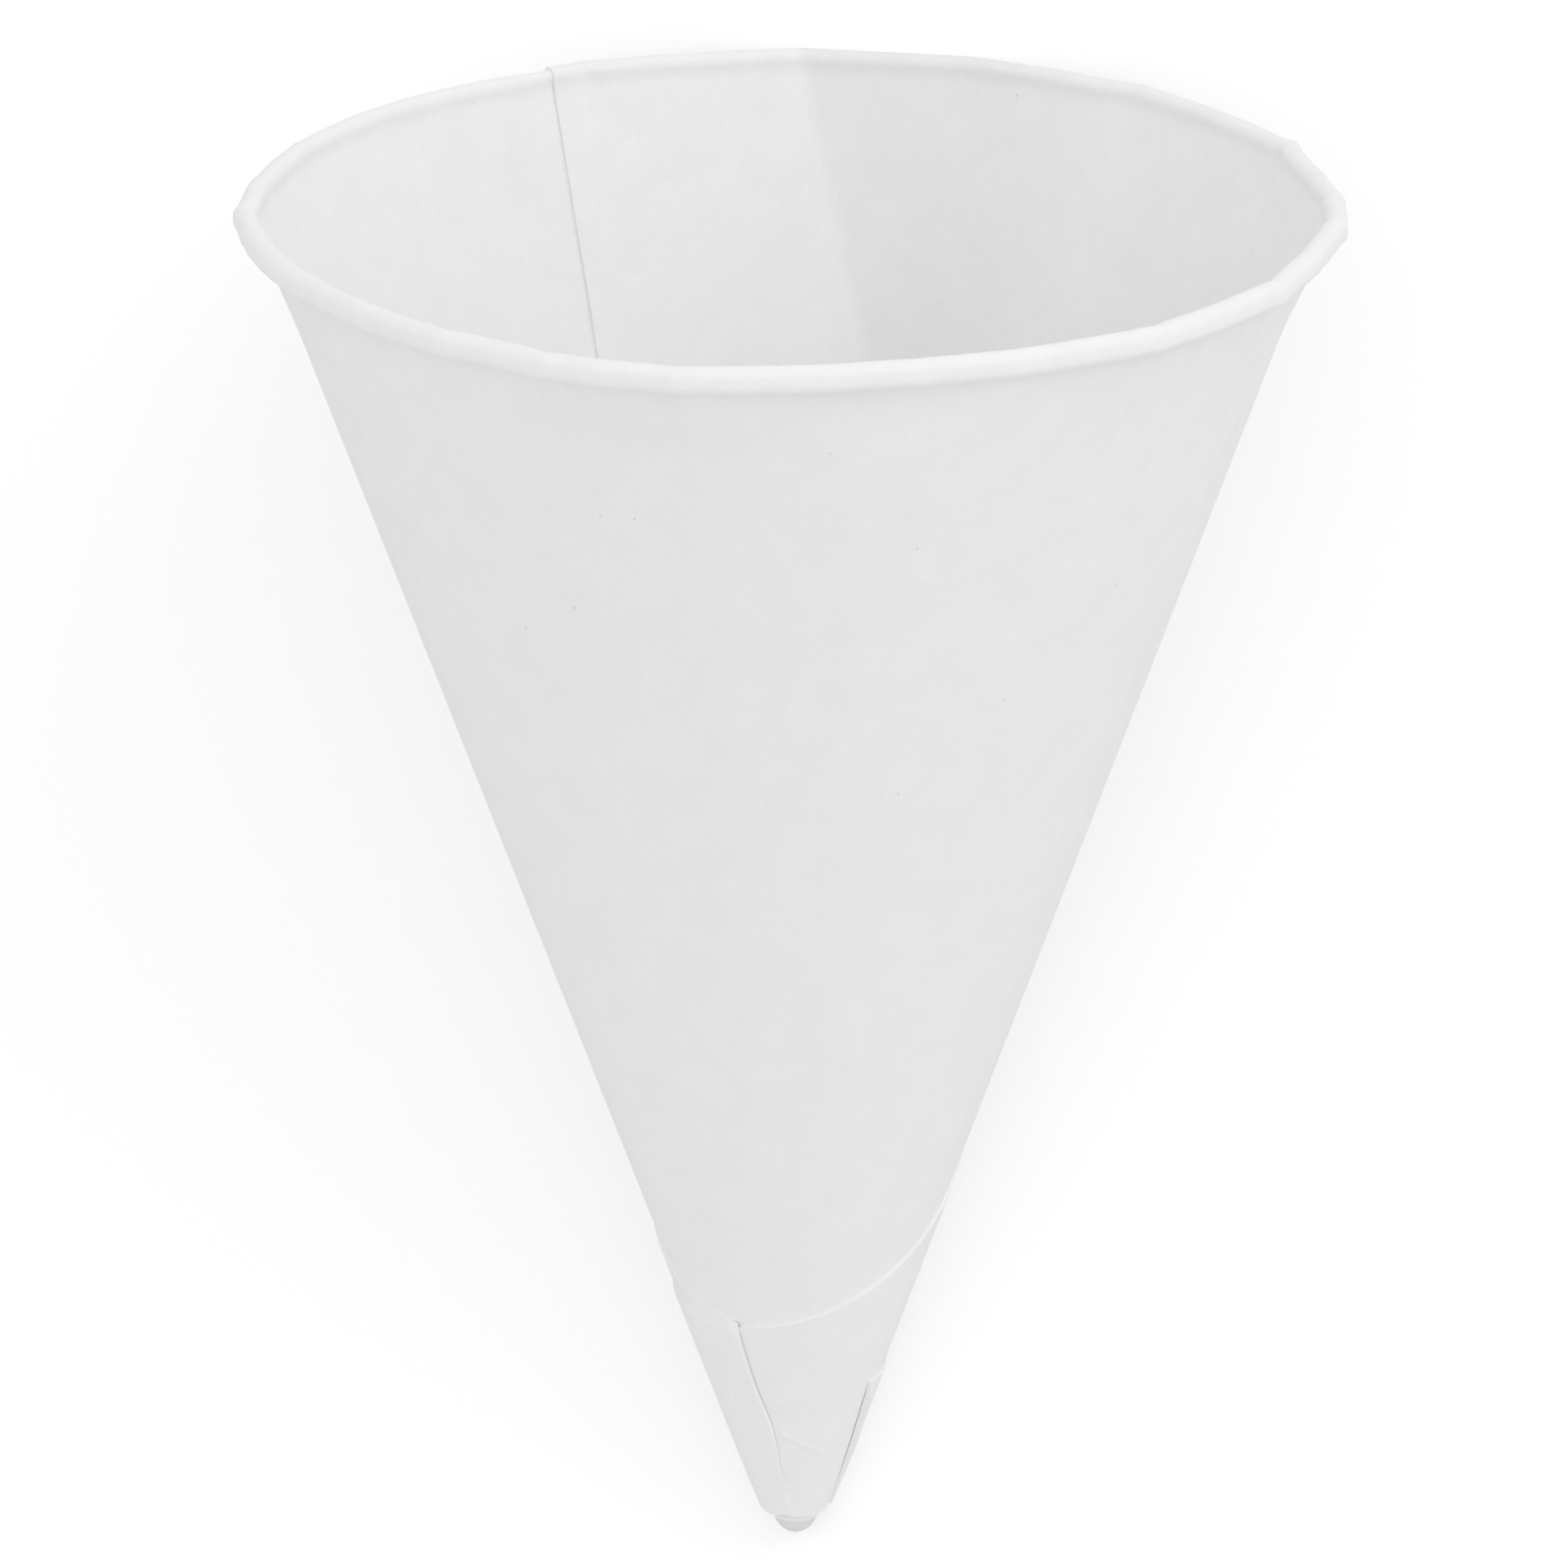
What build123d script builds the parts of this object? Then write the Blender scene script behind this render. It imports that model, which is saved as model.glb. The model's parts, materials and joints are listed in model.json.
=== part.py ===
from build123d import *
from math import acos, asin, atan, atan2, cos, degrees, hypot, radians, sin, tan
import os

# A cone-shaped drinking cup wound from one sheet of stiff white paper, with a rolled rim.
# It is shaped with its axis on Z, its mouth up and the sharp apex of its wall's outer face at
# the origin. Azimuths are in degrees about Z, counted from +X, and -90 is the cup's front.
# At the end the cup is laid on its side, the way it comes to rest on a table.

# Paper and cone, in millimetres
paper = 0.22              # thickness of one ply
mouth_level = 98.6        # height of the roll's middle above the apex
wall_radius = 35.6        # outer face of the wall, level with the roll's middle
ease_height = 7.0         # the round wall bends to the creased rim over this height

# Rolled rim: the wall's top turned outwards and down into a flattened tube
roll_width = 1.5
roll_height = 1.9
roll_stand_out = 0.85     # how far the roll stands out from the wall's outer face
roll_reach = 125.0        # turn of the last bend, where the sheet's edge tucks under
lap_reach = 100.0         # the same turn where the roll is two plies thick
roll_bend = 1.0           # radius where the sloping wall turns upright into the roll
roll_lead = 0.45          # height of the sloping stretch that the roll begins with
run_sink = 0.45           # how far the rim between two creases falls in from a true circle
long_run = 21.0           # a run that spans more degrees than this bends once more half way

# The sheet winds towards smaller azimuths. It starts at a cut edge on the inside, and the end of
# its first turn climbs over that edge. At the rim it ends soon after that, at a crease.
sheet_start = 117.4       # azimuth of the edge where the sheet begins
start_ramp = 6.5          # angle within which the first turn's end climbs over that edge
start_bottom = 12.0       # height where that edge is lost in the tip

# The run of the rim between these two azimuths is straight, and the cup comes to rest on it
rest_run = (69.5, 88.5)

# Creases in the roll: azimuth, and how far each stands out from the mean circle
rim_creases = (
    (22.0, 0.3), (49.0, 0.25), (rest_run[0], 0.3), (rest_run[1], 0.3), (113.0, 0.2),
    (sheet_start, 0.05), (119.5, -0.4), (137.0, -0.1), (157.0, 0.05), (180.0, 0.5),
    (211.0, -0.4), (231.0, 0.0), (244.0, 0.4), (258.0, 0.75), (283.0, -0.5), (311.0, 0.45),
    (331.0, 0.4), (352.0, 0.35),
)

# Closed tip: the first turn ends in a rounded core, and the later plies stop a little above it
tip_bottom = 3.4          # lowest point of the core above the apex
core_height = 2.6         # crushed paper between the tip and the inside's lowest point
wrap_bottom = 4.75        # where the outer plies end

# Cut edges of the sheet. Each is a straight cut on the flat sheet, so it is given by its
# distance from the apex there and by the azimuth at which the cut comes nearest to it.
# A place one turn further on in the sheet has an azimuth 360 degrees less.
lap_cut = (22.5, -139.8)          # end of the second turn, from the rim round to the front
wrap_cut = (22.2, -76.0)          # top of the last wrap, in front and on the left
back_cut = (17.0, -387.0)         # top of the last wrap, at the back and on the right
flap_cut = (1.35, 136.0)          # free edge of the last wrap, in front
heel_cut = (1.36, -141.3)         # far edge of the last wrap, on the right

half_angle = atan(wall_radius / mouth_level)
bend_depth = (roll_width - roll_stand_out - paper * (1 + 1 / cos(half_angle)) / 2) / tan(half_angle)
foot_level = mouth_level - bend_depth - roll_lead
wrap_top = 2 * lap_cut[0]                       # above every cut of the last wrap
tip_slant = (wrap_bottom + back_cut[0]) / 2     # where every ply goes all round, or nearly
ease_level = foot_level - ease_height
roll_radius = wall_radius + roll_stand_out - roll_width / 2


def polar(radius, azimuth, level=0.0):
    """Point at a radius and an azimuth about the cup's axis."""
    return Vector(radius * cos(radians(azimuth)), radius * sin(radians(azimuth)), level)


def wall_face_radius(level, ply):
    """Radius of the round wall at a height: ply 0 is its outer face, and 1 is one ply out."""
    return level * tan(half_angle) + ply * paper / cos(half_angle)


def on_wall(slant, azimuth, ply):
    """Point on the cone at a slant distance from the apex, some plies out from the wall's face."""
    radius = slant * sin(half_angle) + ply * paper * cos(half_angle)
    return polar(radius, azimuth, slant * cos(half_angle) - ply * paper * sin(half_angle))


def cut_slant(cut, azimuth):
    """Slant distance at which a straight cut of the flat sheet crosses an azimuth."""
    distance, nearest = cut
    return distance / cos(radians(azimuth - nearest) * sin(half_angle))


def cut_azimuths(cut, slant):
    """The azimuths, before and after a cut's nearest point, at which it is at a slant distance."""
    distance, nearest = cut
    reach = degrees(acos(distance / slant)) / sin(half_angle)
    return nearest - reach, nearest + reach


def spaced(start, end, count):
    """Evenly spaced values from start to end."""
    return [start + (end - start) * i / count for i in range(count + 1)]


def blade(places):
    """Ruled face that stands across the plies, over a line of slants and azimuths on the cone."""
    inside = Edge.make_spline([on_wall(slant, azimuth, -3) for slant, azimuth in places])
    outside = Edge.make_spline([on_wall(slant, azimuth, 6) for slant, azimuth in places])
    return Face.make_surface_from_curves(inside, outside)


def blade_round(cut, start, end):
    """Blade along a cut that runs round the cup, between two azimuths."""
    return blade([(cut_slant(cut, azimuth), azimuth) for azimuth in spaced(start, end, 16)])


def blade_down(cut):
    """Blade along a cut that runs down past the plies' lower end."""
    slants = spaced(0.7 * wrap_bottom, 1.3 * lap_cut[0], 16)
    return blade([(slant, cut_azimuths(cut, slant)[0]) for slant in slants])


def rim_bends():
    """Azimuth and stand-out of each place where the rim bends: its creases and half-way bends."""
    bends = []
    for index, (azimuth, out) in enumerate(rim_creases):
        next_azimuth, next_out = rim_creases[(index + 1) % len(rim_creases)]
        turn = (next_azimuth - azimuth) % 360
        bends.append((azimuth, out))
        if turn > long_run and azimuth != rest_run[0]:
            bends.append((azimuth + turn / 2, (out + next_out) / 2 - run_sink))
    return bends


def rest_ends():
    """The two ends of the straight run that the cup lies on."""
    out_at = dict(rim_creases)
    return [polar(roll_radius + out_at[azimuth], azimuth, mouth_level) for azimuth in rest_run]


def foot_offset(ply):
    """Distance of a ply's outer face from the rim's line, at the foot of the roll."""
    return wall_face_radius(foot_level, ply) - roll_radius


def foot_points(ply):
    """Where a ply's outer face bends at the foot of the roll."""
    radius = roll_radius + foot_offset(ply)
    return [polar(radius + out, azimuth, foot_level) for azimuth, out in rim_bends()]


def circle_between_bends(radius, level):
    """A level circle in one arc for each stretch of the rim between two bends."""
    azimuths = [azimuth for azimuth, out in rim_bends()]
    arcs = []
    for start, end in zip(azimuths, azimuths[1:] + [azimuths[0] + 360]):
        places = (start, (start + end) / 2, end)
        arcs.append(Edge.make_three_point_arc(*[polar(radius, place, level) for place in places]))
    return Wire(arcs)


def wall_body(ply, bottom):
    """Everything inside the outer face of a ply, from a height near the tip to the roll's foot."""
    top = Wire.make_polygon(foot_points(ply))
    low = circle_between_bends(wall_face_radius(ease_level, ply), ease_level)
    eased = Solid.make_loft([low, top], ruled=True)
    round_part = Cone(
        wall_face_radius(bottom, ply), wall_face_radius(ease_level, ply), ease_level - bottom,
        align=(Align.CENTER, Align.CENTER, Align.MIN),
    )
    return Pos(0, 0, bottom) * round_part + eased


def rounded_body(ply, lowest):
    """The same body, closed below by a ball that is tangent to the cone."""
    sharp = ply * paper / sin(half_angle)
    ball = (lowest + sharp) / (1 / sin(half_angle) - 1)
    centre = lowest + ball
    return wall_body(ply, centre - ball * sin(half_angle)) + Pos(0, 0, centre) * Sphere(ball)


def sector(start, end):
    """Wedge about the axis between two azimuths, larger than the cup."""
    reach = 2 * wall_radius
    half_plane = Pos(reach / 2, mouth_level / 2) * Rectangle(reach, 2 * mouth_level)
    wedge = revolve(Plane.XZ * half_plane, Axis.Z, end - start)
    return Rot(0, 0, start) * wedge


def trimmed(layer, blades, inside):
    """What a layer keeps after some cuts: the piece nearest to a point inside it."""
    for cutter in blades:
        pieces = [solid for piece in layer.split(cutter, keep=Keep.ALL) for solid in piece.solids()]
        layer = min(pieces, key=lambda solid: solid.distance_to(inside))
    return layer


def roll_section(plies):
    """Section of the rim, one or two plies thick, turned up, over and down into a flat tube."""
    middle = plies / 2 - 1
    bend = (roll_width - plies * paper) / 2
    reach = roll_reach if plies == 1 else lap_reach
    upright = (roll_height - roll_width) / 2
    low = foot_level - mouth_level
    wall_middle = foot_offset(middle)
    turn = low + (-bend - wall_middle) / tan(half_angle)
    rise = FilletPolyline((wall_middle, low), (-bend, turn), (-bend, upright),
                          radius=roll_bend + (middle + 0.5) * paper)
    over = JernArc((-bend, upright), (0, 1), bend, -180)
    fall = Line((bend, upright), (bend, -upright))
    tuck = JernArc((bend, -upright), (0, -1), bend, -reach)
    return trace(Curve() + [rise, over, fall, tuck], plies * paper).face()


def roll_between(start, end, plies):
    """The roll from one bend of the rim to another, drawn straight between the bends."""
    section = roll_section(plies).outer_wire()
    stations = []
    for turn in (0, 360):
        for azimuth, out in rim_bends():
            if start <= azimuth + turn <= end:
                outward = polar(1, azimuth)
                centre = polar(roll_radius + out, azimuth, mouth_level)
                forward = outward.cross(Vector(0, 0, 1))
                stations.append(Plane(origin=centre, x_dir=outward, z_dir=forward) * section)
    return Solid.make_loft(stations, ruled=True)


def rolled_rim():
    """The whole roll: two plies thick where the sheet laps at the rim, and one ply elsewhere."""
    lap_end = rest_run[1]
    lap_start = min(azimuth for azimuth, out in rim_creases if azimuth > sheet_start)
    far_side = max(azimuth for azimuth, out in rim_creases if azimuth < sheet_start + 180)
    return [
        roll_between(lap_end, lap_start, 2),
        roll_between(lap_start, far_side, 1),
        roll_between(far_side, lap_end + 360, 1),
    ]


def second_turn():
    """The sheet's second turn: a narrow lap at the rim that widens to the whole tip."""
    ring = wall_body(1, wrap_bottom) - wall_body(0, wrap_bottom)
    half_way, spare = sheet_start - 180, 5
    right = trimmed(ring & sector(half_way, sheet_start),
                    [blade_round(lap_cut, half_way - spare, rest_run[1] + 2 * spare)],
                    on_wall(tip_slant, half_way + 90, 0.5))
    left = trimmed(ring & sector(half_way - 180, half_way),
                   [blade_round(lap_cut, half_way + spare, half_way - 180 - spare)],
                   on_wall(tip_slant, half_way - 90, 0.5))
    return right + left


def wrap_layer(ply, start, end):
    """Sector of the tip's round layer that lies under a ply's outer face."""
    height = wrap_top - wrap_bottom
    seat = (Align.CENTER, Align.CENTER, Align.MIN)
    faces = [
        Cone(wall_face_radius(wrap_bottom, face), wall_face_radius(wrap_top, face), height, align=seat)
        for face in (ply, ply - 1)
    ]
    return Pos(0, 0, wrap_bottom) * (faces[0] - faces[1]) & sector(start, end)


def last_wrap():
    """The tip's last wrap, from the flap in front round the left and back to its far edge.

    It lies on the second turn up to that turn's end, and above it straight on the first. It is
    made in a left and a right part, which meet where it is whole.
    """
    front, meeting, right, spare = -70, -290, -430, 10
    past_top = 1.02 * wrap_top / cos(half_angle)
    over_left = blade_round(wrap_cut, front + spare, cut_azimuths(wrap_cut, past_top)[0])
    over_back = blade_round(back_cut, cut_azimuths(back_cut, past_top)[1], right + spare)
    flap, heel = blade_down(flap_cut), blade_down(heel_cut)
    lap_end = blade_round(lap_cut, front + spare, meeting - spare)
    on_left = on_wall(tip_slant, (front + meeting) / 2, 1)
    on_right = on_wall(tip_slant, meeting - 4 * spare, 1)
    return [
        trimmed(wrap_layer(1, meeting, front), [flap, over_left, over_back], on_left),
        trimmed(wrap_layer(2, meeting, front), [flap, over_left, over_back, lap_end], on_left),
        trimmed(wrap_layer(1, right, meeting), [over_back, heel], on_right),
        trimmed(wrap_layer(2, right, meeting), [over_back, heel], on_right),
    ]


def foot_radius(azimuth, ply):
    """Radius of a ply's outer face at the foot of the roll, on the straight line between bends."""
    bends = rim_bends()
    bends = bends + [(bends[0][0] + 360, bends[0][1])]
    for (start, out), (end, next_out) in zip(bends, bends[1:]):
        if start <= azimuth <= end:
            first = roll_radius + foot_offset(ply) + out
            last = roll_radius + foot_offset(ply) + next_out
            along = first * sin(radians(azimuth - start)) + last * sin(radians(end - azimuth))
            return first * last * sin(radians(end - start)) / along


def strip_over_start(corners):
    """A strip of constant angle along the sheet's start, from its section's azimuths and plies."""
    levels = []
    for level in (start_bottom, ease_level):
        levels.append([polar(wall_face_radius(level, ply), azimuth, level) for azimuth, ply in corners])
    levels.append([polar(foot_radius(azimuth, ply), azimuth, foot_level) for azimuth, ply in corners])
    return Solid.make_loft([Wire.make_polygon(points) for points in levels], ruled=True)


def sheet_start_strip(face_plies, behind):
    """Wedge along the sheet's start: as thick as a ply there, and nothing at the ramp's end."""
    ramp_end = sheet_start + start_ramp
    at_start, at_end = face_plies
    corners = [(sheet_start, at_start), (sheet_start, behind), (ramp_end, behind), (ramp_end, at_end)]
    return strip_over_start(corners)


def upright_cup():
    """The whole cup with its axis upright and its mouth up."""
    first_turn = rounded_body(0, tip_bottom) - rounded_body(-1, tip_bottom + core_height)
    climb = sheet_start_strip((1, 0), -0.5)
    cup = first_turn + rolled_rim() + [second_turn(), climb] + last_wrap()
    return cup - sheet_start_strip((0, -1), -3)


def lying_tilt():
    """Slope of the axis when the roll's straight run and the last wrap's lower end touch a table."""
    run = sum(rest_ends(), Vector()) / 2
    bend_level = mouth_level - (roll_height - roll_width) / 2
    out = hypot(run.X, run.Y) - wall_face_radius(wrap_bottom, 2)
    along = bend_level - wrap_bottom
    return degrees(atan2(out, along) + asin(roll_width / 2 / hypot(out, along)))


def rest_azimuth():
    """Azimuth of the side that the cup lies on, square to the roll's straight run."""
    first, last = rest_ends()
    return degrees(atan2(first.X - last.X, last.Y - first.Y))


def lying(cup):
    """The cup laid down with its mouth towards +X, centred over the origin on the ground."""
    laid = Rot(0, 90 - lying_tilt(), 0) * Rot(0, 0, -rest_azimuth()) * cup
    box = laid.bounding_box()
    return Pos(-box.center().X, -box.center().Y, -box.min.Z) * laid


os.makedirs("parts", exist_ok=True)
export_step(lying(upright_cup()), "parts/paper_cone.step")
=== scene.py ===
import json
import math

import bmesh
import bpy
from mathutils import Matrix, Vector, noise


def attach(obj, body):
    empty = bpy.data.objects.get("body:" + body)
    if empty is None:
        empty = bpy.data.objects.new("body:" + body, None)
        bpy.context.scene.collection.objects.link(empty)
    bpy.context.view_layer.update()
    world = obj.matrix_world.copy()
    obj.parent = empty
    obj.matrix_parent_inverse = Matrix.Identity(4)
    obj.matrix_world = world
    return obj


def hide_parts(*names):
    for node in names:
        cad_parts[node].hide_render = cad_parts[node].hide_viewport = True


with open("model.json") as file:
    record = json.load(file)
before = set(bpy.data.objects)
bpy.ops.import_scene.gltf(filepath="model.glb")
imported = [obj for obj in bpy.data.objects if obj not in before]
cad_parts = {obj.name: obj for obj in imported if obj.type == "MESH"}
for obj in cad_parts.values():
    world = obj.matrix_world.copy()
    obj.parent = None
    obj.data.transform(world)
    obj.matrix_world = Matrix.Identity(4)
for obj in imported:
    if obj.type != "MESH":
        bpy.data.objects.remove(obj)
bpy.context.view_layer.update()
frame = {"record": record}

# The camera stands where the photograph was taken from, 17 degrees above the mouth. It is set in
# the cup's own frame, with the apex of the wall's cone at the origin and the mouth up, in
# millimetres, and turned with the cup to the way it lies.
half_angle = math.atan(35.6 / 98.6)
mouth_level = 98.6
rest_side = 79.0                        # azimuth of the side that the cup lies on
ring = frame["record"]["mounts"][0]
to_tip = Vector(ring["axis"]).normalized()
apex = Vector(ring["pos_m"]) + to_tip * ring["dims"]["r_mm"] / math.tan(half_angle) / 1000
slope = math.asin(-to_tip.z)
laid = (
    Matrix.Translation(apex)
    @ Matrix.Rotation(math.pi / 2 - slope, 4, "Y")
    @ Matrix.Rotation(-math.radians(rest_side), 4, "Z")
    @ Matrix.Scale(0.001, 4)
)

photo_size = 1932
mouth_pixel = (974.5, 252.1)            # where the middle of the mouth is in the photograph
pixels_per_mm = 18.525
distance = 1000.0
above_mouth = math.radians(17.065)
tilted = math.radians(0.218)
focal = pixels_per_mm * distance
back = Vector((0, -math.cos(above_mouth), math.sin(above_mouth)))
level_axes = Matrix(((1, 0, 0), (0, back.z, -back.y), back))
swing = Matrix.Rotation(-math.atan((mouth_pixel[0] - photo_size / 2) / focal), 3, "Y")
nod = Matrix.Rotation(math.atan((photo_size / 2 - mouth_pixel[1]) / focal), 3, "X")
axes = Matrix.Rotation(tilted, 3, "Z") @ nod @ swing @ level_axes
mouth_middle = Vector((-0.13, 0, mouth_level))
standing = Matrix.Translation(mouth_middle + back * distance) @ axes.transposed().to_4x4()
place = laid @ standing
camera = bpy.data.objects.new("camera", bpy.data.cameras.new("camera"))
camera.data.sensor_width = 36.0
camera.data.lens = 36.0 * focal / photo_size
camera.data.clip_start, camera.data.clip_end = 0.1, 10
camera.matrix_world = Matrix.LocRotScale(place.to_translation(), place.to_quaternion(), None)
bpy.context.collection.objects.link(camera)
bpy.context.scene.camera = camera

# The paper is uncoated, stiff and white, with faint clouds of fibres, a fine tooth and a few
# darker flecks of pulp. At the tip it is painted darker, for its crushed paper and as painted
# shade under the tip. Inside at the back it has painted shade past the edge of the second ply
# that backs it, where the single ply lets less light back.
paper = 0.22
# how much darker the tip is painted, for crushed paper and painted shade under it
crushed_and_shaded_tip_darker = 2.4                    # with unbacked paper counted as 1
flecks_outside = (
    (97.7, -85.7), (91.7, -113.5), (91.8, -109.1), (83.6, -120.1), (80.9, -129.5),
    (89.5, -74.5), (69.0, -72.8), (82.9, -40.8), (75.7, -57.3), (61.4, -30.2),
)
flecks_inside = ((97.5, 19.8), (102.85, 63.4))


def on_cone(slant, azimuth, ply):
    """Point on the cup's cone, in its own frame, some plies out from the wall's outer face."""
    radius = slant * math.sin(half_angle) + ply * paper * math.cos(half_angle)
    height = slant * math.cos(half_angle) - ply * paper * math.sin(half_angle)
    turned = math.radians(azimuth)
    return Vector((radius * math.cos(turned), radius * math.sin(turned), height))


def paper_material():
    material = bpy.data.materials.new("white_paper")
    material.use_nodes = True
    nodes, links = material.node_tree.nodes, material.node_tree.links
    surface = nodes["Principled BSDF"]
    surface.inputs["Roughness"].default_value = 0.85
    surface.inputs["Specular IOR Level"].default_value = 0.25
    where = nodes.new("ShaderNodeTexCoord").outputs["Object"]

    def clouds(size_mm, detail):
        texture = nodes.new("ShaderNodeTexNoise")
        texture.inputs["Scale"].default_value = 1000 / size_mm
        texture.inputs["Detail"].default_value = detail
        links.new(where, texture.inputs["Vector"])
        return texture.outputs["Fac"]

    def ramp(value, low, high, dark, light):
        spread = nodes.new("ShaderNodeMapRange")
        spread.inputs["From Min"].default_value = low
        spread.inputs["From Max"].default_value = high
        spread.inputs["To Min"].default_value = dark
        spread.inputs["To Max"].default_value = light
        links.new(value, spread.inputs["Value"])
        return spread.outputs["Result"]

    def times(first, second):
        node = nodes.new("ShaderNodeMath")
        node.operation = "MULTIPLY"
        links.new(first, node.inputs[0])
        links.new(second, node.inputs[1])
        return node.outputs["Value"]

    formation = ramp(clouds(3.0, 4.0), 0.3, 0.7, 0.975, 1.0)
    fibres = ramp(clouds(0.35, 3.0), 0.3, 0.7, 0.98, 1.0)
    darker = nodes.new("ShaderNodeAttribute")
    darker.attribute_name = "darker"
    # painted shade, and crushed paper at the tip, where the "darker" attribute is set
    painted_shade_and_crush = ramp(darker.outputs["Fac"], 0.0, crushed_and_shaded_tip_darker, 1.0, 0.868)
    shade = times(times(formation, fibres), painted_shade_and_crush)
    places = [on_cone(slant, azimuth, 0) for slant, azimuth in flecks_outside]
    places += [on_cone(slant, azimuth, -1) for slant, azimuth in flecks_inside]
    for place_of_fleck in places:
        near = nodes.new("ShaderNodeVectorMath")
        near.operation = "DISTANCE"
        near.inputs[1].default_value = laid @ place_of_fleck
        links.new(where, near.inputs[0])
        shade = times(shade, ramp(near.outputs["Value"], 0.00005, 0.00014, 0.82, 1.0))
    tint = nodes.new("ShaderNodeMix")
    tint.data_type = "RGBA"
    tint.inputs["A"].default_value = (0, 0, 0, 1)
    tint.inputs["B"].default_value = (0.94, 0.94, 0.935, 1)
    links.new(shade, tint.inputs["Factor"])
    links.new(tint.outputs["Result"], surface.inputs["Base Color"])
    bump = nodes.new("ShaderNodeBump")
    bump.inputs["Strength"].default_value = 0.35
    bump.inputs["Distance"].default_value = 0.00003
    links.new(clouds(0.25, 4.0), bump.inputs["Height"])
    links.new(bump.outputs["Normal"], surface.inputs["Normal"])
    return material


white_paper = paper_material()

# The sheet's first turn makes the whole inside of the cup. It starts at a cut edge, 117 degrees
# round, and ends by climbing over that edge. Its top is rolled outwards into a creased bead, and
# its lower end is pressed into a rounded tip.
creases = (                             # azimuth, stand-out, and sink of the run that follows
    (22.0, 0.36, 0.4), (49.0, 0.27, 0.42), (69.5, 0.36, 0.5), (88.5, 0.35, 0.42),
    (113.0, 0.24, 0.0), (117.4, 0.0, 0.0), (119.5, -0.42, 0.05), (137.0, -0.13, 0.0),
    (157.0, 0.15, 0.1), (180.0, 0.5, 0.1), (211.0, -0.45, 0.12), (231.0, -0.05, 0.3),
    (244.0, 0.5, 0.0), (258.0, 0.8, 0.15), (283.0, -0.45, 0.15), (311.0, 0.48, 0.25),
    (331.0, 0.45, 0.35), (354.0, 0.5, 0.0), (363.0, 0.45, 0.35), (382.0, 0.36, 0.0),
)
sheet_start = 117.4
start_ramp = 6.5
roll_radius = 35.7
roll_width, roll_height, roll_foot = 1.5, 1.9, 1.62
foot_level = mouth_level - roll_foot
ease_level = foot_level - 7.0
tip_bottom = 3.4
roll_reach = math.radians(125)
crease_rounding, pinch, pinch_width = 0.6, 0.16, 0.9
tip_taper, taper_level = 0.04, 8.5
tuck_level, tuck, tuck_rise = 6.0, 0.08, 0.22
# length up the sheet from the tip that is painted darker, for crushed paper and painted shade
shaded_tip_length = 6.9
lap_cut = (22.5, -139.8)


def smooth(value):
    """From 0 to 1 with a level start and end."""
    value = min(1.0, max(0.0, value))
    return value * value * (3 - 2 * value)


def cut_slant(cut, azimuth):
    """Slant distance at which a straight cut of the flat sheet crosses an azimuth."""
    distance_there, nearest = cut
    across = math.cos(math.radians(azimuth - nearest) * math.sin(half_angle))
    return distance_there / max(across, 0.01)


def rim_out(azimuth):
    """How far the rim stands out from its mean circle at an azimuth."""
    azimuth = (azimuth - creases[0][0]) % 360 + creases[0][0]
    for (start, out, sink), (end, next_out, _) in zip(creases, creases[1:]):
        if start <= azimuth <= end:
            along = (azimuth - start) / (end - start)
            return out + (next_out - out) * along - sink * 4 * along * (1 - along)


def rounded_rim_out(azimuth):
    """The same, with each crease a little rounded and pinched, and with small lumps.

    The straight run that the cup lies on has none. The first crease also closes the list, so it
    is pinched twice as far as the others.
    """
    before, after = rim_out(azimuth - crease_rounding), rim_out(azimuth + crease_rounding)
    rounded = (before + rim_out(azimuth) + after) / 3
    round_place = Vector((math.cos(math.radians(azimuth)), math.sin(math.radians(azimuth)), 0))
    lumps = 0.12 * noise.noise(round_place * 9) + 0.06 * noise.noise(round_place * 31)
    for crease, _, _ in creases:
        from_crease = (azimuth - crease + 180) % 360 - 180
        lumps += pinch * math.exp(-(from_crease / pinch_width) ** 2)
    from_rest = abs((azimuth - rest_side + 180) % 360 - 180)
    return rounded + lumps * smooth((from_rest - 11) / 12)


def sheet_profile():
    """Middle of the sheet, tip to curl's end: length up the sheet, radius, height, heading, rim."""
    ball = tip_bottom / (1 / math.sin(half_angle) - 1)
    centre = tip_bottom + ball
    middle = ball - paper / 2
    points = []
    for step in range(9):
        turned = math.radians(-90) + step / 8 * (math.pi / 2 - half_angle)
        height = centre + middle * math.sin(turned)
        points.append((height, middle * math.cos(turned), height, turned + math.pi / 2, 0.0))
    heading = points[-1][3]
    low = points[-1][2]
    levels = 62
    for step in range(1, levels + 1):
        level = low + (foot_level - low) * (step / levels) ** 0.9
        share_of_rim = smooth((level - ease_level) / (foot_level - ease_level))
        radius = level * math.tan(half_angle) - paper / 2 / math.cos(half_angle)
        points.append((level / math.cos(half_angle), radius, level, heading, share_of_rim))
    bend = (roll_width - paper) / 2
    upright = roll_height - roll_width
    up, x, y = points[-1][:3]
    turn_up = 2.3
    low_run = (roll_radius - bend - x) / math.tan(half_angle) - turn_up * math.tan(half_angle / 2)
    stretches = (
        (low_run / math.cos(half_angle), 0.0, 1), (turn_up, half_angle, 5),
        (upright * 0.5, 0.0, 1), (bend, -math.pi, 14), (upright, 0.0, 1),
        (bend, -roll_reach, 10),
    )
    for size, turn, steps in stretches:
        for step in range(steps):
            length = 2 * size * math.sin(abs(turn) / steps / 2) if turn else size / steps
            heading += turn / steps / 2
            x, y = x + length * math.cos(heading), y + length * math.sin(heading)
            heading += turn / steps / 2
            up += length
            points.append((up, x, y, heading, 1.0))
    return points


profile = sheet_profile()
sheet_top = profile[-1][0]


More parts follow.
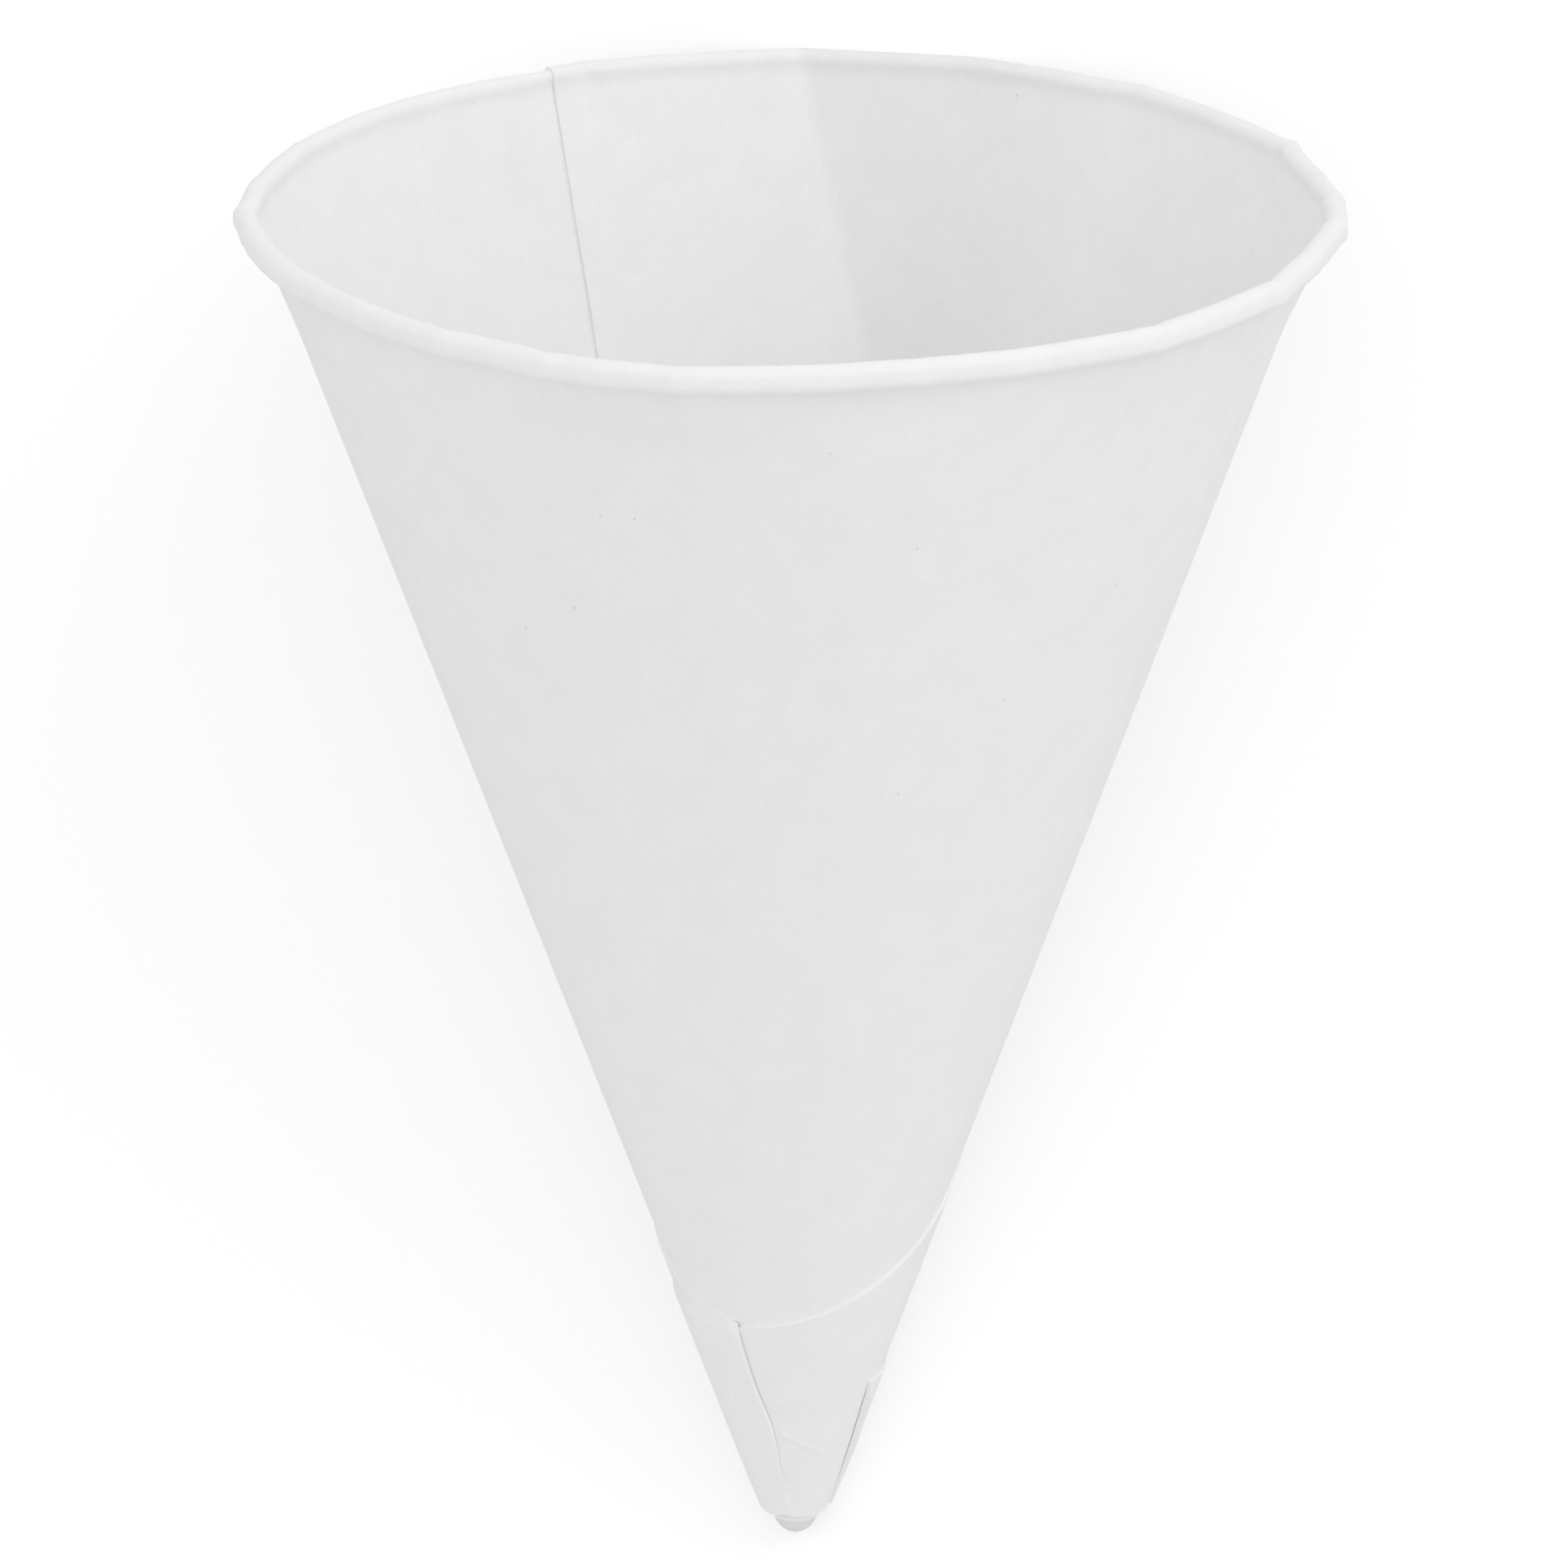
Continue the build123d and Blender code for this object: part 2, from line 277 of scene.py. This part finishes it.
def profile_at(index):
    """The profile between two of its points, at an index that needn't be whole."""
    low = min(int(index), len(profile) - 2)
    share = index - low
    return [a + (b - a) * share for a, b in zip(profile[low], profile[low + 1])]


def profile_index(length):
    """Where on the profile a length up the sheet falls."""
    for index, (low, high) in enumerate(zip(profile, profile[1:])):
        if length <= high[0]:
            return index + (length - low[0]) / (high[0] - low[0])
    return len(profile) - 1.0


def wound(index, azimuth, ply):
    """Place of a point of the sheet at an azimuth, some plies out from the first turn's middle."""
    up, radius, height, heading, share = profile_at(index)
    radius *= 1 - tip_taper * smooth((taper_level - height) / 4)
    radius += share * rounded_rim_out(azimuth) + ply * paper * math.sin(heading)
    height -= ply * paper * math.cos(heading)
    turned = math.radians(azimuth)
    return Vector((radius * math.cos(turned), radius * math.sin(turned), height))


def paper_piece(name, columns, rows, bent, darker=None):
    """A piece of the sheet: a flat grid, bent to shape, and drawn out to the paper's thickness."""
    bm = bmesh.new()
    flat = bm.verts.layers.float_vector.new("flat")
    bmesh.ops.create_grid(bm, x_segments=columns, y_segments=rows, size=0.5)
    for vert in bm.verts:
        vert[flat] = (vert.co.x + 0.5, vert.co.y + 0.5, 0)
        vert.co = bent(vert[flat].x, vert[flat].y, -0.5)
    bmesh.ops.remove_doubles(bm, verts=bm.verts, dist=0.0005)
    drawn = bmesh.ops.extrude_face_region(bm, geom=bm.faces[:])
    for vert in drawn["geom"]:
        if isinstance(vert, bmesh.types.BMVert):
            vert[flat].z = 1
            vert.co = bent(vert[flat].x, vert[flat].y, 0.5)
    bmesh.ops.recalc_face_normals(bm, faces=bm.faces)
    if darker:
        shade = bm.verts.layers.float.new("darker")
        for vert in bm.verts:
            vert[shade] = darker(*vert[flat])
    bm.verts.layers.float_vector.remove(flat)
    bmesh.ops.transform(bm, matrix=laid, verts=bm.verts)
    for face in bm.faces:
        face.smooth = True
    for edge in bm.edges:
        edge.smooth = len(edge.link_faces) != 2 or edge.calc_face_angle() < math.radians(50)
    mesh = bpy.data.meshes.new(name)
    bm.to_mesh(mesh)
    bm.free()
    mesh.materials.append(white_paper)
    piece = bpy.data.objects.new(name, mesh)
    bpy.context.collection.objects.link(piece)
    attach(piece, "root")
    return piece


def first_turn(along, up, side):
    """Bends the first turn, which climbs over its own start at its end."""
    turned = 360 * along
    ply = smooth((turned - 360 + start_ramp) / start_ramp) + side
    waver = 0.3 * noise.noise(Vector((0, 0, up * 15))) * smooth(1 - turned / 3)
    place = wound(up * (len(profile) - 1), sheet_start - turned + waver, ply)
    tucked = smooth((tuck_level - place.z) / 0.6)
    narrower = 1 - tuck * tucked
    return Vector((place.x * narrower, place.y * narrower, place.z + tuck_rise * tucked))


def first_turn_darker(along, up, outside):
    """How much darker it is painted: shade inside where unbacked; shade and crushed paper at the
    tip.
    """
    length = profile_at(up * (len(profile) - 1))[0]
    if outside:
        # painted shade under the tip, together with its crushed paper
        return crushed_and_shaded_tip_darker * smooth((shaded_tip_length - length) / 0.8)
    azimuth = sheet_start - 360 * along
    lap_end = min(sheet_top, cut_slant(lap_cut, azimuth))
    # painted shade inside, past the second ply's edge, where the single ply lets less light back
    return smooth((length - lap_end) / 3.4 + 0.5) * smooth((azimuth - 48) / 24)


wall = paper_piece("first_turn", 420, len(profile) - 1, first_turn, first_turn_darker)
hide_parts("paper_cone")

# The sheet's second turn laps the first from the rim, behind on the right, down to the whole tip.
# Its top is the sheet's straight cut, which curves round the front of the cup once it is wound.
second_bottom, second_waver = 5.85, 0.15
small_crease = ((13.5, -104), (13.2, -95.5), (12.5, -84.7), (12.2, -74.4), (11.4, -60.9))
small_crease_lift, small_crease_width = 0.32, 0.16


def crease_lift(slant, azimuth):
    """Height of the small fold in front near the tip, in plies."""
    for (low, start), (high, end) in zip(small_crease, small_crease[1:]):
        if start <= azimuth <= end:
            middle = low + (high - low) * (azimuth - start) / (end - start)
            fade = smooth((azimuth + 104) / 4) * smooth((-59 - azimuth) / 8)
            return small_crease_lift * fade * math.exp(-((slant - middle) / small_crease_width) ** 2)
    return 0.0


def second_turn(along, up, side):
    """Bends the second turn, as far up as its cut reaches."""
    azimuth = sheet_start - 360 * along
    top = min(sheet_top, cut_slant(lap_cut, azimuth))
    low = profile_index(second_bottom + second_waver * math.sin(math.radians(2 * azimuth + 40)))
    index = low + up * (profile_index(top) - low)
    slant = profile_at(index)[0]
    climb = smooth((360 * along - 360 + start_ramp) / start_ramp)
    return wound(index, azimuth, 1 + climb + crease_lift(slant, azimuth) + side)


paper_piece("second_turn", 400, 90, second_turn)

# The last wrap goes round the tip from its free edge in front, round the left and the back, to
# its far edge on the right. Both edges stand off a little. Above the second turn's cut it drops
# to the first turn, over a ridge.
wrap_cut, back_cut = (22.2, -76.0), (17.0, -387.0)
flap_cut, heel_cut = (1.35, 136.0), (1.36, -141.3)
flap_lift, flap_reach = 1.2, 0.75       # in plies, and in millimetres back from the edge
heel_lift, heel_reach = 1.0, 0.9
wrap_bottom = 6.2
drop_run = 0.45


def free_edge(cut, slant):
    """Azimuth of a cut that runs down the tip, at a slant distance."""
    distance_there, nearest = cut
    return nearest - math.degrees(math.acos(distance_there / slant)) / math.sin(half_angle)


def wrap_azimuth(along, slant):
    """Azimuth of the last wrap between its two edges, which are a little bowed."""
    flap = free_edge(flap_cut, slant) + 5.0 * math.exp(-((slant - 13.6) / 3.2) ** 2)
    return flap + (free_edge(heel_cut, slant) - flap) * along


def wrap_top(along):
    """Slant distance of the last wrap's top."""
    slant = 25.0
    for _ in range(12):
        azimuth = wrap_azimuth(along, slant)
        slant = min(cut_slant(wrap_cut, azimuth), cut_slant(back_cut, azimuth))
    return slant


def last_wrap(along, up, side):
    """Bends the last wrap over what lies under it."""
    top = wrap_top(along)
    azimuth = wrap_azimuth(along, top)
    low = wrap_bottom + 0.2 * math.cos(math.radians(2 * (azimuth + 80)))
    low += 0.1 * math.sin(math.radians(5 * azimuth))
    slant = low + up * (top - low)
    azimuth = wrap_azimuth(along, slant)
    start_again = sheet_start - 360
    if azimuth > start_again:
        lap = 1 - smooth((slant - cut_slant(lap_cut, azimuth) - 0.02) / drop_run)
        under = lap + smooth((start_again + start_ramp - azimuth) / start_ramp)
    else:
        under = 1 + smooth(1 - (start_again - azimuth) / 4) * (1 - smooth(slant - 27.4))
    from_flap = math.radians(wrap_azimuth(0, slant) - azimuth) * slant * math.sin(half_angle)
    from_heel = math.radians(azimuth - wrap_azimuth(1, slant)) * slant * math.sin(half_angle)
    lift = flap_lift * smooth((slant - 6.5) / 11) * math.exp(-((from_flap / flap_reach) ** 2))
    lift += heel_lift * smooth((slant - 6.5) / 6) * math.exp(-((from_heel / heel_reach) ** 2))
    lift *= smooth((top - slant) / 1.2)
    return wound(profile_index(slant), azimuth, 1 + under + lift * (0.6 + 0.8 * side) + side)


paper_piece("last_wrap", 300, 70, last_wrap)


# The paper in the tip is crushed. Its top is the bottom of the inside, and its lower end comes out
# below the plies, narrower than they are.
def crushed_tip(along, up, side):
    """Bends the plug of crushed paper in the tip."""
    ball, centre = 2.75, 8.75
    radius = up * ball * math.cos(half_angle)
    if side < 0:
        height = centre - math.sqrt(ball ** 2 - radius ** 2)
    else:
        radius, height = radius * 0.6, 4.4 + 0.5 * up
    turned = math.radians(360 * along)
    return Vector((radius * math.cos(turned), radius * math.sin(turned), height))


paper_piece("crushed_tip", 40, 8, crushed_tip)

# The floor is plain and matt. A little light of its own makes it white to the camera alone, and it
# keeps the cup's soft shadow.
floor_bm = bmesh.new()
bmesh.ops.create_grid(floor_bm, x_segments=1, y_segments=1, size=3)
floor_mesh = bpy.data.meshes.new("floor")
floor_bm.to_mesh(floor_mesh)
floor_bm.free()
floor = bpy.data.objects.new("floor", floor_mesh)
bpy.context.collection.objects.link(floor)
floor_white = bpy.data.materials.new("floor_white")
floor_white.use_nodes = True
nodes, links = floor_white.node_tree.nodes, floor_white.node_tree.links
surface = nodes["Principled BSDF"]
surface.inputs["Base Color"].default_value = (0.8, 0.8, 0.8, 1)
surface.inputs["Roughness"].default_value = 1.0
surface.inputs["Specular IOR Level"].default_value = 0.0
seen = nodes.new("ShaderNodeLightPath")
surface.inputs["Emission Color"].default_value = (1, 1, 1, 1)
lift = nodes.new("ShaderNodeMath")
lift.operation = "MULTIPLY"
lift.inputs[1].default_value = 0.3
links.new(seen.outputs["Is Camera Ray"], lift.inputs[0])
links.new(lift.outputs["Value"], surface.inputs["Emission Strength"])
floor_mesh.materials.append(floor_white)

# Soft, even studio light: a white room that is dimmer beyond the tip, and a weak broad lamp in
# front on the right.
world = bpy.data.worlds.new("white_room")
bpy.context.scene.world = world
world.use_nodes = True
background = world.node_tree.nodes["Background"]
background.inputs["Color"].default_value = (1, 1, 1, 1)
room = world.node_tree
direction = room.nodes.new("ShaderNodeTexCoord").outputs["Generated"]
toward_mouth = room.nodes.new("ShaderNodeVectorMath")
toward_mouth.operation = "DOT_PRODUCT"
toward_mouth.inputs[1].default_value = -to_tip
room.links.new(direction, toward_mouth.inputs[0])
dimmer = room.nodes.new("ShaderNodeMapRange")
dimmer.inputs["From Min"].default_value = -1.0
dimmer.inputs["From Max"].default_value = -0.4
dimmer.inputs["To Min"].default_value = 0.5
dimmer.inputs["To Max"].default_value = 0.89
room.links.new(toward_mouth.outputs["Value"], dimmer.inputs["Value"])
room.links.new(dimmer.outputs["Result"], background.inputs["Strength"])

light = bpy.data.lights.new("right_lamp", "AREA")
light.size = 0.8
light.energy = 1.5
side = (laid.to_3x3() @ Vector((0.6, -0.4, 0.7))).normalized()
right_lamp = bpy.data.objects.new("right_lamp", light)
right_lamp.matrix_world = Matrix.LocRotScale(side, side.to_track_quat("Z", "Y"), None)
bpy.context.collection.objects.link(right_lamp)

bpy.context.scene.view_settings.view_transform = "Standard"
